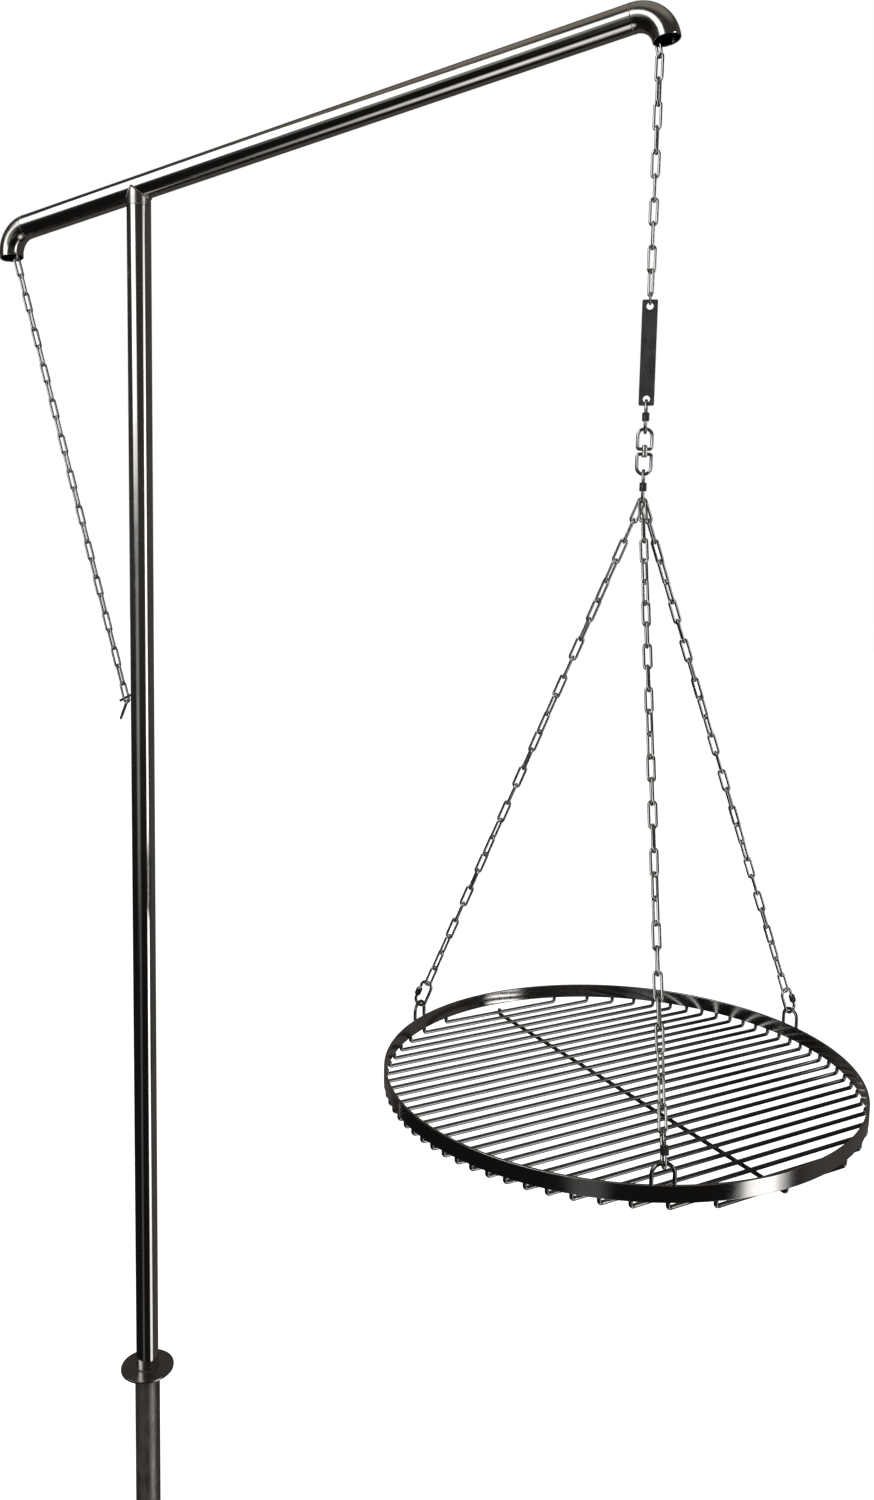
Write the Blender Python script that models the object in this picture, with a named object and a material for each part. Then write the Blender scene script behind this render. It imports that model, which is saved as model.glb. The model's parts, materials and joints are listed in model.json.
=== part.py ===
"""Swing-grill gallows in stainless steel: a ground sleeve, a turning pole with a raised arm, a chain
that runs through the arm, and a round grate on three chains.

Metres, +Z up, +X along the arm to its front. The origin is on the pole's axis at ground level, the
underside of the ground flange.
"""

import math

import bmesh
import bpy
from mathutils import Matrix, Vector

GAP = 0.0003  # between pieces that touch

# Ground sleeve and pole
SLEEVE_OD = 0.045
SLEEVE_WALL = 0.002
SLEEVE_DEPTH = 0.300
SLEEVE_FLOOR = 0.004
DRAIN_HOLE_R = 0.005
FLANGE_R = 0.048
FLANGE_THICK = 0.004
TUBE_OD = 0.040
TUBE_WALL = 0.002
POLE_TOP = 2.082
SPIGOT_WALL = 0.003
SPIGOT_DEPTH = 0.090
SPIGOT_RISE = 0.0035

# Arm: its axis rises towards the front
ARM_RISE = math.radians(9.8)
ARM_Z = 2.1114  # height of the arm's axis above the pole's axis
ARM_BACK_X = -0.238
ARM_FRONT_X = 0.835
ELBOW_R = 0.043

# Chain: long links
LINK_PITCH = 0.032
LINK_WIDTH = 0.0138
LINK_R_CAD = 0.0021
CHAIN_BAR_R = 0.0033
CHAIN_TIP_R = 0.0015
CHAIN_TIP = 0.004
CHAIN_END = 0.0008  # from a hanging point to the end of a bar that meets another there
TAIL_TOP = Vector((-0.2635, 0.0, 2.0214))

# Hook on the pole: a short rod that slopes down and away from it
HOOK_ROD_R = 0.0023
HOOK_ROOT_Z = 1.263
HOOK_SLOPE = math.radians(27.0)
HOOK_LENGTH = 0.0314
HOOK_SHANK = 0.006  # length of the rod inside the pole's outline, cut away to fit the pole
HOOK_LINK_X = -0.033  # where the loaded link hangs on it
HOOK_LINK_DROP = 0.0033  # clearance that the two links' wires take under the hook
FREE_LINK_LEAN = math.radians(24.0)

# Hanging line
HANG_X = 0.8753
CHAIN_START_Z = 2.202
MAIN_LINKS = 10
RING_INNER = 0.011
RING_WIRE_R = 0.00175
PLATE_WIDTH = 0.022
PLATE_THICK = 0.003
PLATE_HOLE_R = 0.005
PLATE_EDGE = 0.0041  # material between a hole and the plate's end
PLATE_CORNER = 0.002
PLATE_REACH = 0.1383  # from the upper hole's top to the lower hole's bottom
LINK_INNER = 0.039  # quick link, inside length
LINK_INNER_WIDTH = 0.014
LINK_WIRE_R = 0.0025
LINK_GAP = 0.003  # the quick link's mouth, which the nut closes
LINK_GAP_DROP = 0.005  # from the leg's middle down to the mouth's middle
NUT_LENGTH = 0.012
NUT_DROP = 0.0015  # from the leg's middle down to the closed nut's middle
NUT_FLATS_R = 0.0045
EYE_REACH = 0.059  # swivel, from the upper eye's inside top to the lower eye's inside bottom
EYE_WIDTH = 0.025
EYE_WIRE_R = 0.0024
BOSS_R = 0.0048
BOSS_THICK = 0.0055
BOSS_GAP = 0.0016  # between the two bosses
EYE_CORNER = 0.003
PIN_R = 0.002
PIN_HEAD_R = 0.0038
PIN_HEAD = 0.0032
PLATE_TURN = math.radians(-76.0)  # direction that the plate's face looks

# Grate
RIM_R = 0.358
RIM_THICK = 0.004
RIM_HEIGHT = 0.0223
RIM_TOP_Z = 0.7495
BOW_WIDTH = 0.034
BOW_HEIGHT = 0.031
BOW_WIRE_R = 0.00275
LEG_TURN = math.radians(-67.0)  # direction of the first hanging point
LEG_NAMES = ("front", "right", "left")
LEG_SEATS = (0.0046, -0.0046, 0.0)  # where each chain sits along the lower quick link's end
ROD_TURN = math.radians(52.4)  # direction of the rods
ROD_COUNT = 29
ROD_PITCH = 0.0241
ROD_R = 0.003
ROD_DROP = 0.008  # from the rim's underside to a rod's axis

PIPE_SIDES = 24
RIM_SIDES = 72
WIRE_SIDES = 6
HOLE_SIDES = 16

AXIS_Y = Vector((0, 1, 0))
AXIS_Z = Vector((0, 0, 1))
ARM_DIR = Vector((math.cos(ARM_RISE), 0, math.sin(ARM_RISE)))
ARM_UP = Vector((-math.sin(ARM_RISE), 0, math.cos(ARM_RISE)))


def clear_scene():
    for item in list(bpy.data.objects):
        bpy.data.objects.remove(item, do_unlink=True)


def steel(name, colour, roughness):
    material = bpy.data.materials.new(name)
    material.use_nodes = True
    shader = material.node_tree.nodes["Principled BSDF"]
    shader.inputs["Base Color"].default_value = (*colour, 1.0)
    shader.inputs["Roughness"].default_value = roughness
    shader.inputs["Metallic"].default_value = 1.0
    return material


# ---- bodies and objects ----


def body(name, pivot=(0, 0, 0), parent=None):
    """An empty at a joint's pivot; the pieces that move with the joint hang under it."""
    empty = bpy.data.objects.new(name, None)
    bpy.context.collection.objects.link(empty)
    empty.location = Vector(pivot) - (parent["at"] if parent else Vector())
    if parent:
        empty.parent = parent["empty"]
    return {"empty": empty, "at": Vector(pivot)}


def add(name, mesh, material, owner):
    """Makes the object of a bmesh that is given in world coordinates."""
    bmesh.ops.recalc_face_normals(mesh, faces=mesh.faces)
    mesh.transform(Matrix.Translation(-owner["at"]))
    data = bpy.data.meshes.new(name)
    mesh.to_mesh(data)
    mesh.free()
    data.materials.append(material)
    data.shade_smooth()
    data.set_sharp_from_angle(angle=math.radians(35))
    piece = bpy.data.objects.new(name, data)
    bpy.context.collection.objects.link(piece)
    piece.parent = owner["empty"]
    return piece


def boolean(piece, cutter, operation):
    """Cuts or joins with another object, which then serves only as a guide."""
    modifier = piece.modifiers.new(operation.lower(), "BOOLEAN")
    modifier.operation = operation
    modifier.solver = "EXACT"
    modifier.object = cutter
    cutter.hide_render = True
    cutter.display_type = "WIRE"


# ---- sweeps ----


def ring_points(centre, side, normal, radius, sides, stretch=1.0, turn=0.0):
    angles = [2 * math.pi * i / sides + turn for i in range(sides)]
    return [
        centre + radius * (math.cos(a) * stretch * side + math.sin(a) * normal)
        for a in angles
    ]


def mitred_rings(points, normal, radius, sides, closed=False, turn=0.0):
    """Rings along a flat path, each on the plane that halves its corner."""
    rings = []
    last = len(points) - 1
    for i, point in enumerate(points):
        back = points[i - 1] if i or closed else None
        ahead = points[(i + 1) % len(points)] if i < last or closed else None
        into = (point - back).normalized() if back else (ahead - point).normalized()
        out = (ahead - point).normalized() if ahead else into
        along = (into + out).normalized()
        rings.append(
            ring_points(point, normal.cross(along), normal, radius, sides, 1 / along.dot(into), turn)
        )
    return rings


def skin(mesh, rings, closed=False):
    """Joins rings of vertices with quads and returns the vertex rings."""
    verts = [[mesh.verts.new(p) for p in ring] for ring in rings]
    pairs = list(zip(verts, verts[1:]))
    if closed:
        pairs.append((verts[-1], verts[0]))
    for low, high in pairs:
        for j in range(len(low)):
            k = (j + 1) % len(low)
            mesh.faces.new((low[j], low[k], high[k], high[j]))
    return verts


def rod(points, normal, radius, sides=WIRE_SIDES, closed=False, turn=0.0):
    """A solid rod along a flat path."""
    mesh = bmesh.new()
    verts = skin(mesh, mitred_rings(points, normal, radius, sides, closed, turn), closed)
    if not closed:
        mesh.faces.new(verts[0])
        mesh.faces.new(verts[-1])
    return mesh


def tube_wall(outer_rings, inner_rings):
    """A tube from the rings of its outer and inner skins, open at both ends."""
    mesh = bmesh.new()
    outside = skin(mesh, outer_rings)
    inside = skin(mesh, inner_rings)
    for a, b in ((outside[0], inside[0]), (outside[-1], inside[-1])):
        for j in range(len(a)):
            k = (j + 1) % len(a)
            mesh.faces.new((a[j], a[k], b[k], b[j]))
    return mesh


def pipe(points, normal, outer, inner, sides=PIPE_SIDES):
    """A tube along a flat path."""
    return tube_wall(mitred_rings(points, normal, outer, sides), mitred_rings(points, normal, inner, sides))


def turned(profile, centre, sides=PIPE_SIDES):
    """A closed profile of (radius, height) points spun about a vertical axis."""
    mesh = bmesh.new()
    rings = []
    for radius, height in profile:
        at = centre + height * AXIS_Z
        rings.append(ring_points(at, Vector((1, 0, 0)), AXIS_Y, radius, sides))
    skin(mesh, rings, closed=True)
    return mesh


def solid_turned(profile, centre, sides=PIPE_SIDES):
    """A profile from one end to the other spun about a vertical axis, with flat ends."""
    mesh = bmesh.new()
    rings = []
    for radius, height in profile:
        at = centre + height * AXIS_Z
        rings.append(ring_points(at, Vector((1, 0, 0)), AXIS_Y, radius, sides))
    verts = skin(mesh, rings)
    mesh.faces.new(verts[0])
    mesh.faces.new(verts[-1])
    return mesh


def merge(target, other):
    """Adds one bmesh's geometry to another's, as a separate shell."""
    data = bpy.data.meshes.new("join")
    other.to_mesh(data)
    other.free()
    target.from_mesh(data)
    bpy.data.meshes.remove(data)


def stadium(centre, along, across, length, width, steps=4):
    """Points round an outline with straight sides and half-round ends, measured on its centre line."""
    radius = width / 2
    points = []
    for end in (1, -1):
        middle = centre + along * (end * (length / 2 - radius))
        for i in range(steps + 1):
            a = math.pi * i / steps
            points.append(middle + radius * end * (math.cos(a) * across + math.sin(a) * along))
    return points


# ---- places that several pieces share ----


def arm_point(x):
    return Vector((x, 0, ARM_Z + math.tan(ARM_RISE) * x))


def elbow_path(seam_x, side, radius=ELBOW_R, steps=8):
    """Points round an elbow's bend, from its seam with the arm (side 1 at the front) to its mouth."""
    centre = arm_point(seam_x) - ELBOW_R * ARM_UP
    angles = [math.pi / 2 * i / steps for i in range(steps + 1)]
    return [centre + radius * (math.cos(a) * ARM_UP + math.sin(a) * side * ARM_DIR) for a in angles]


def hang(z):
    return Vector((HANG_X, 0, z))


FACE = Vector((math.cos(PLATE_TURN), math.sin(PLATE_TURN), 0))  # out of the plate's face
WIDE = AXIS_Z.cross(FACE)  # along the plate's width

RING_TOP_Z = CHAIN_START_Z - MAIN_LINKS * LINK_PITCH
PLATE_HANG_Z = RING_TOP_Z - RING_INNER
UPPER_LINK_Z = PLATE_HANG_Z - PLATE_REACH
SWIVEL_Z = UPPER_LINK_Z - LINK_INNER
SWIVEL_MIDDLE_Z = SWIVEL_Z - EYE_REACH / 2
LOWER_LINK_Z = SWIVEL_Z - EYE_REACH
APEX_Z = LOWER_LINK_Z - LINK_INNER
RIM_BOTTOM_Z = RIM_TOP_Z - RIM_HEIGHT
ROD_Z = RIM_BOTTOM_Z - ROD_DROP
BAND_R = RIM_R - RIM_THICK / 2
HOOK_DIR = Vector((-math.cos(HOOK_SLOPE), 0, -math.sin(HOOK_SLOPE)))


# ---- ground sleeve ----


def make_sleeve(owner, material):
    outer = SLEEVE_OD / 2
    inner = outer - SLEEVE_WALL
    bottom = -SLEEVE_DEPTH
    floor = bottom + SLEEVE_FLOOR
    profile = [
        (outer, FLANGE_THICK),
        (inner, FLANGE_THICK),
        (inner, floor),
        (DRAIN_HOLE_R, floor),
        (DRAIN_HOLE_R, bottom),
        (outer, bottom),
    ]
    add("ground_sleeve", turned(profile, Vector()), material, owner)


def make_flange(owner, material):
    bevel = 0.0008
    inner = SLEEVE_OD / 2 + GAP
    profile = [
        (inner, FLANGE_THICK),
        (inner, 0),
        (FLANGE_R, 0),
        (FLANGE_R, FLANGE_THICK - bevel),
        (FLANGE_R - bevel, FLANGE_THICK),
    ]
    add("ground_flange", turned(profile, Vector(), sides=48), material, owner)


# ---- mast ----


def make_pole(owner, material):
    outer = TUBE_OD / 2
    foot = Vector((0, 0, -SLEEVE_DEPTH + SLEEVE_FLOOR + GAP))
    points = [foot, Vector((0, 0, POLE_TOP))]
    add("pole", pipe(points, AXIS_Y, outer, outer - TUBE_WALL), material, owner)


def make_spigot(owner, material):
    outer = TUBE_OD / 2 - TUBE_WALL - GAP
    points = [Vector((0, 0, POLE_TOP - SPIGOT_DEPTH)), Vector((0, 0, POLE_TOP + SPIGOT_RISE))]
    add("stub_spigot", pipe(points, AXIS_Y, outer, outer - SPIGOT_WALL), material, owner)


def make_stub(owner, material):
    """The short tube under the arm, cut to the arm's round underside."""
    outer = TUBE_OD / 2
    points = [Vector((0, 0, POLE_TOP + GAP)), Vector((0, 0, ARM_Z))]
    stub = add("arm_stub", pipe(points, AXIS_Y, outer, outer - TUBE_WALL), material, owner)
    ends = [arm_point(-TUBE_OD), arm_point(TUBE_OD)]
    saddle = rod(ends, AXIS_Y, outer + GAP, PIPE_SIDES)
    cutter = add("arm_stub_cutter", saddle, material, owner)
    boolean(stub, cutter, "DIFFERENCE")


def make_arm(owner, material):
    outer = TUBE_OD / 2
    points = [arm_point(ARM_BACK_X) + GAP * ARM_DIR, arm_point(ARM_FRONT_X) - GAP * ARM_DIR]
    add("arm_tube", pipe(points, AXIS_Y, outer, outer - TUBE_WALL), material, owner)


def make_elbow(name, seam_x, side, owner, material):
    """A quarter bend, each of its rings on a plane through the bend's centre."""
    centre = arm_point(seam_x) - ELBOW_R * ARM_UP
    skins = []
    for radius in (TUBE_OD / 2, TUBE_OD / 2 - TUBE_WALL):
        rings = []
        for at in elbow_path(seam_x, side):
            outward = (at - centre).normalized()
            rings.append(ring_points(at, outward, AXIS_Y, radius, PIPE_SIDES))
        skins.append(rings)
    add(name, tube_wall(*skins), material, owner)


def make_hook(owner, material):
    root = Vector((-TUBE_OD / 2 - GAP, 0, HOOK_ROOT_Z))
    shank = rod([root - HOOK_SHANK * HOOK_DIR, root + HOOK_LENGTH * HOOK_DIR], AXIS_Y, HOOK_ROD_R, 10)
    hook = add("chain_hook", shank, material, owner)
    ends = [Vector((0, 0, HOOK_ROOT_Z - TUBE_OD)), Vector((0, 0, HOOK_ROOT_Z + TUBE_OD))]
    wall = rod(ends, AXIS_Y, TUBE_OD / 2 + GAP, PIPE_SIDES)
    boolean(hook, add("chain_hook_cutter", wall, material, owner), "DIFFERENCE")


# ---- chains, each run a plain bar of the chain's own weight ----


def chain_bar(points, normal):
    """A bar along a flat path, narrowed at both ends where it meets the next piece."""
    head = (points[1] - points[0]).normalized() * CHAIN_TIP
    tail = (points[-2] - points[-1]).normalized() * CHAIN_TIP
    path = [points[0], points[0] + head, *points[1:-1], points[-1] + tail, points[-1]]
    rings = mitred_rings(path, normal, CHAIN_BAR_R, WIRE_SIDES)
    narrow = CHAIN_TIP_R / CHAIN_BAR_R
    for index in (0, -1):
        rings[index] = [path[index] + (p - path[index]) * narrow for p in rings[index]]
    mesh = bmesh.new()
    verts = skin(mesh, rings)
    mesh.faces.new(verts[0])
    mesh.faces.new(verts[-1])
    return mesh


def make_arm_chain(owner, material):
    """The stretch inside the arm: it lies on the tube's floor and rounds both bends on the inside."""
    clear = TUBE_OD / 2 - TUBE_WALL - CHAIN_BAR_R - 5 * GAP
    bend = ELBOW_R - clear
    back = elbow_path(ARM_BACK_X, -1, bend, 4)
    front = elbow_path(ARM_FRONT_X, 1, bend, 4)
    start = TAIL_TOP + AXIS_Z * CHAIN_TIP_R
    end = hang(CHAIN_START_Z + CHAIN_END)
    path = [start, *reversed(back[:-1]), *front[:-1], hang(front[-1].z), end]
    add("arm_chain", chain_bar(path, AXIS_Y), material, owner)


def hook_seat():
    """Where the loaded link pulls: the free link's wire lies between it and the hook's underside."""
    root = Vector((-TUBE_OD / 2, 0, HOOK_ROOT_Z))
    along = (HOOK_LINK_X - root.x) / HOOK_DIR.x
    below = HOOK_ROD_R / math.cos(HOOK_SLOPE) + 2 * LINK_R_CAD + HOOK_LINK_DROP
    return root + along * HOOK_DIR - Vector((0, 0, below))


def make_tail_chain(owner, material):
    """From the back elbow to the hook: a bar, and round the hook one real link with the free link."""
    seat = hook_seat()
    up = (TAIL_TOP - seat).normalized()
    wire = LINK_R_CAD
    normal = up.cross(AXIS_Y)
    width = LINK_WIDTH - 2 * wire
    length = LINK_PITCH + 2 * wire
    centre = seat + up * (LINK_PITCH / 2)
    link = rod(stadium(centre, up, AXIS_Y, length, width), normal, wire, closed=True)
    bar_start = seat + up * (LINK_PITCH - wire)
    bar = chain_bar([bar_start, TAIL_TOP - up * CHAIN_TIP_R], AXIS_Y)
    chain = add("tail_chain", bar, material, owner)
    boolean(chain, add("tail_chain_hook_link", link, material, owner), "UNION")
    down = Vector((-math.sin(FREE_LINK_LEAN), 0, -math.cos(FREE_LINK_LEAN)))
    free_centre = seat + down * (LINK_PITCH / 2 - 2 * GAP)
    free = rod(stadium(free_centre, down, down.cross(AXIS_Y), length, width), AXIS_Y, wire, closed=True)
    boolean(chain, add("tail_chain_free_link", free, material, owner), "UNION")


def make_main_chain(owner, material):
    top = hang(CHAIN_START_Z - CHAIN_END)
    bottom = hang(RING_TOP_Z + 2 * RING_WIRE_R + 2 * GAP)
    add("main_chain", chain_bar([top, bottom], AXIS_Y), material, owner)


# ---- hanging hardware ----


def make_plate_ring(owner, material):
    radius = RING_INNER / 2 + RING_WIRE_R + GAP
    centre = hang((RING_TOP_Z + PLATE_HANG_Z) / 2)
    points = ring_points(centre, FACE, AXIS_Z, radius, 12)
    add("plate_ring", rod(points, WIDE, RING_WIRE_R, closed=True), material, owner)


def make_plate(owner, material):
    """A flat bar with rounded corners and a hole at each end."""
    top = PLATE_HANG_Z + PLATE_EDGE
    bottom = UPPER_LINK_Z - PLATE_EDGE
    half = PLATE_WIDTH / 2 - PLATE_CORNER
    outline = []
    for sx, sz, z in ((1, 1, top), (-1, 1, top), (-1, -1, bottom), (1, -1, bottom)):
        inner = hang(z - sz * PLATE_CORNER) + WIDE * sx * half
        steps = [WIDE * sx * PLATE_CORNER, AXIS_Z * sz * PLATE_CORNER]
        outline += [inner + v for v in (steps if sx * sz > 0 else reversed(steps))]
    mesh = bmesh.new()
    back = [mesh.verts.new(p - FACE * PLATE_THICK / 2) for p in outline]
    mesh.faces.new(back)
    pushed = bmesh.ops.extrude_face_region(mesh, geom=mesh.faces[:])
    moved = [item for item in pushed["geom"] if isinstance(item, bmesh.types.BMVert)]
    bmesh.ops.translate(mesh, verts=moved, vec=FACE * PLATE_THICK)
    plate = add("spacer_plate", mesh, material, owner)
    holes = bmesh.new()
    corner_r = (PLATE_HOLE_R + GAP) / math.cos(math.pi / HOLE_SIDES)
    for z in (PLATE_HANG_Z - PLATE_HOLE_R, UPPER_LINK_Z + PLATE_HOLE_R):
        ends = [hang(z) - FACE * PLATE_THICK, hang(z) + FACE * PLATE_THICK]
        merge(holes, rod(ends, AXIS_Z, corner_r, HOLE_SIDES))
    boolean(plate, add("spacer_plate_holes", holes, material, owner), "DIFFERENCE")


def quick_link(name, low, up, across, owner, material, nut_owner=None):
    """A long link with a gap in one side. The nut that closes it is its own piece, or part of it."""
    wire = LINK_WIRE_R
    centre = low + up * (LINK_INNER / 2)
    length = LINK_INNER + 2 * wire + 3 * GAP
    width = LINK_INNER_WIDTH + 2 * wire
    normal = up.cross(across)
    points = stadium(centre, up, across, length, width)
    leg = centre + across * (width / 2)
    mouth = leg - up * LINK_GAP_DROP
    half_gap = LINK_GAP / 2
    path = [mouth + up * half_gap, *points, mouth - up * half_gap]
    link = add(name, rod(path, normal, wire), material, owner)
    nut_low = leg - up * (NUT_DROP + NUT_LENGTH / 2)
    nut_path = [nut_low, nut_low + up * NUT_LENGTH]
    corner_r = NUT_FLATS_R / math.cos(math.pi / 6)
    if nut_owner:
        nut = pipe(nut_path, normal, corner_r, wire + 2 * GAP, 6)
        add(name.replace("quick_link", "link_nut"), nut, material, nut_owner)
    else:
        nut = rod(nut_path, normal, corner_r, 6)
        boolean(link, add(name + "_nut", nut, material, owner), "UNION")


def eye_loop(seat_z, bar_z, normal):
    """A D-shaped wire loop from its round end to its flat bar."""
    sign = 1 if seat_z > bar_z else -1
    half = EYE_WIDTH / 2 - EYE_WIRE_R
    end = seat_z + sign * (EYE_WIRE_R + GAP)
    shoulder = end - sign * half
    points = []
    steps = 6
    for i in range(steps + 1):
        a = math.pi * i / steps
        points.append(hang(shoulder + sign * half * math.sin(a)) + WIDE * half * math.cos(a))
    corner_z = bar_z + sign * EYE_CORNER
    flat_half = half - EYE_CORNER
    points.append(hang(corner_z) - WIDE * half)
    points.append(hang(bar_z) - WIDE * flat_half)
    points.append(hang(bar_z) + WIDE * flat_half)
    points.append(hang(corner_z) + WIDE * half)
    return rod(points, normal, EYE_WIRE_R, closed=True)


def make_swivel_upper(owner, material):
    """The upper eye, with a boss that the lower eye's pin turns in."""
    low = SWIVEL_MIDDLE_Z + BOSS_GAP / 2
    high = low + BOSS_THICK
    eye = add("swivel_upper_eye", eye_loop(SWIVEL_Z, (low + high) / 2, FACE), material, owner)
    boss = solid_turned([(BOSS_R, low), (BOSS_R, high)], hang(0), HOLE_SIDES)
    boolean(eye, add("swivel_upper_boss", boss, material, owner), "UNION")
    hole_r = PIN_R + GAP
    hole = solid_turned([(hole_r, low - PIN_R), (hole_r, high + PIN_R)], hang(0), HOLE_SIDES)
    boolean(eye, add("swivel_upper_hole", hole, material, owner), "DIFFERENCE")


def make_swivel_lower(owner, material):
    """The lower eye, its boss, and the headed pin that stands on it."""
    high = SWIVEL_MIDDLE_Z - BOSS_GAP / 2
    low = high - BOSS_THICK
    head = SWIVEL_MIDDLE_Z + BOSS_GAP / 2 + BOSS_THICK + GAP
    eye = add("swivel_lower_eye", eye_loop(LOWER_LINK_Z, (low + high) / 2, FACE), material, owner)
    profile = [
        (PIN_HEAD_R, low - PIN_R),
        (BOSS_R, low),
        (BOSS_R, high),
        (PIN_R, high),
        (PIN_R, head),
        (PIN_HEAD_R, head),
        (PIN_HEAD_R, head + PIN_HEAD / 2),
        (PIN_R, head + PIN_HEAD),
    ]
    pin = solid_turned(profile, hang(0), HOLE_SIDES)
    boolean(eye, add("swivel_pin", pin, material, owner), "UNION")


# ---- grate ----


def leg_frame(index):
    """Outward direction, the seat on the lower quick link, the seat under the bow, and the way up."""
    turn = LEG_TURN + index * 2 * math.pi / 3
    outward = Vector((math.cos(turn), math.sin(turn), 0))
    top = hang(APEX_Z) + FACE * LEG_SEATS[index]
    bow_wire = hang(RIM_TOP_Z + BOW_HEIGHT - BOW_WIRE_R) + outward * BAND_R
    up = (top - bow_wire).normalized()
    return outward, top, bow_wire - up * BOW_WIRE_R, up


def make_leg(index, owner, chain_steel, link_steel, rod_steel):
    name = LEG_NAMES[index]
    outward, top, low, up = leg_frame(index)
    tangent = AXIS_Z.cross(outward)
    bow_points = []
    half = BOW_WIDTH / 2 - BOW_WIRE_R
    shoulder = RIM_TOP_Z + BOW_HEIGHT - BOW_WIRE_R - half
    steps = 8
    base = Vector((HANG_X, 0, 0)) + outward * BAND_R
    bow_points.append(base + tangent * half + AXIS_Z * (RIM_TOP_Z + GAP))
    for i in range(steps + 1):
        a = math.pi * i / steps
        z = shoulder + half * math.sin(a)
        bow_points.append(base + tangent * half * math.cos(a) + AXIS_Z * z)
    bow_points.append(base - tangent * half + AXIS_Z * (RIM_TOP_Z + GAP))
    bow = rod(bow_points, outward, BOW_WIRE_R, 8)
    add("rim_bow_" + name, bow, rod_steel, owner)
    side = (outward - up * outward.dot(up)).normalized()
    quick_link("rim_link_" + name, low, up, side, owner, link_steel)
    clear = 2 * LINK_WIRE_R + LINK_GAP
    start = low + up * (LINK_INNER + clear)
    end = top - up * clear
    add("leg_chain_" + name, chain_bar([start, end], up.cross(side)), chain_steel, owner)


def make_rim(owner, material):
    inner = RIM_R - RIM_THICK
    profile = [(RIM_R, RIM_TOP_Z), (inner, RIM_TOP_Z), (inner, RIM_BOTTOM_Z), (RIM_R, RIM_BOTTOM_Z)]
    add("grate_rim", turned(profile, Vector((HANG_X, 0, 0)), RIM_SIDES), material, owner)


def bent_rod(middle, along, half, low_z, high_z, radius):
    """A straight rod whose two ends turn up."""
    bend = radius * 1.4
    points = []
    for sign in (1, -1):
        corner = middle + along * (sign * half)
        ends = [
            corner + AXIS_Z * high_z,
            corner + AXIS_Z * (low_z + bend),
            corner - along * (sign * bend) + AXIS_Z * low_z,
        ]
        points += ends if sign > 0 else reversed(ends)
    return rod(points, AXIS_Z.cross(along), radius)


def make_rods(owner, material):
    along = Vector((math.cos(ROD_TURN), math.sin(ROD_TURN), 0))
    across = AXIS_Z.cross(along)
    centre = Vector((HANG_X, 0, 0))
    top = RIM_BOTTOM_Z - GAP
    for i in range(ROD_COUNT):
        offset = (i - (ROD_COUNT - 1) / 2) * ROD_PITCH
        half = math.sqrt(BAND_R**2 - offset**2)
        mesh = bent_rod(centre + across * offset, along, half, ROD_Z, top, ROD_R)
        add(f"grate_rod_{i + 1:02d}", mesh, material, owner)
    half = (ROD_COUNT - 1) / 2 * ROD_PITCH + 2 * ROD_R + 2 * GAP
    bar_z = ROD_Z - 2 * ROD_R - GAP
    add("cross_bar", bent_rod(centre, across, half, bar_z, ROD_Z + ROD_R, ROD_R), material, owner)


# ---- the whole ----


def main():
    clear_scene()
    brushed = steel("brushed_steel", (0.34, 0.33, 0.32), 0.28)
    sleeve_steel = steel("sleeve_steel", (0.20, 0.19, 0.18), 0.45)
    polished = steel("polished_steel", (0.55, 0.55, 0.55), 0.15)
    plate_steel = steel("plate_steel", (0.16, 0.16, 0.16), 0.40)
    grate_steel = steel("grate_steel", (0.30, 0.29, 0.29), 0.25)

    ground = body("ground")
    mast = body("mast", parent=ground)
    main_chain = body("main_chain_pivot", hang(CHAIN_START_Z), mast)
    plate = body("plate_pivot", hang(RING_TOP_Z), main_chain)
    upper_link = body("upper_link_pivot", hang(UPPER_LINK_Z), plate)
    upper_nut = body("upper_nut_slide", hang(UPPER_LINK_Z), upper_link)
    swivel_top = body("swivel_upper_pivot", hang(SWIVEL_Z), upper_link)
    swivel_low = body("swivel_axis", hang(SWIVEL_Z), swivel_top)
    lower_link = body("lower_link_pivot", hang(LOWER_LINK_Z), swivel_low)
    lower_nut = body("lower_nut_slide", hang(LOWER_LINK_Z), lower_link)
    grate = body("grate_pivot", hang(APEX_Z), lower_link)

    make_sleeve(ground, sleeve_steel)
    make_flange(ground, brushed)
    make_pole(mast, brushed)
    make_spigot(mast, brushed)
    make_stub(mast, brushed)
    make_arm(mast, brushed)
    make_elbow("front_elbow", ARM_FRONT_X, 1, mast, brushed)
    make_elbow("rear_elbow", ARM_BACK_X, -1, mast, brushed)
    make_hook(mast, brushed)
    make_arm_chain(mast, polished)
    make_tail_chain(mast, polished)
    make_main_chain(main_chain, polished)
    make_plate_ring(plate, polished)
    make_plate(plate, plate_steel)
    quick_link("upper_quick_link", hang(SWIVEL_Z), AXIS_Z, FACE, upper_link, polished, upper_nut)
    make_swivel_upper(swivel_top, polished)
    make_swivel_lower(swivel_low, polished)
    quick_link("lower_quick_link", hang(APEX_Z), AXIS_Z, FACE, lower_link, polished, lower_nut)
    for index in range(len(LEG_NAMES)):
        make_leg(index, grate, polished, polished, grate_steel)
    make_rim(grate, grate_steel)
    make_rods(grate, grate_steel)


main()
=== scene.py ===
"""Looks of the swing-grill gallows: round tubes with worn polish, chains of real links, quick links with
threads and nuts, the swivel, the blank plate, and the grate with its welded rods.

Metres, in the CAD's own frame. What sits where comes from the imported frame: its boxes and its joints.
"""

import json
import math

import bmesh
import bpy
from mathutils import Matrix, Vector


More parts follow.
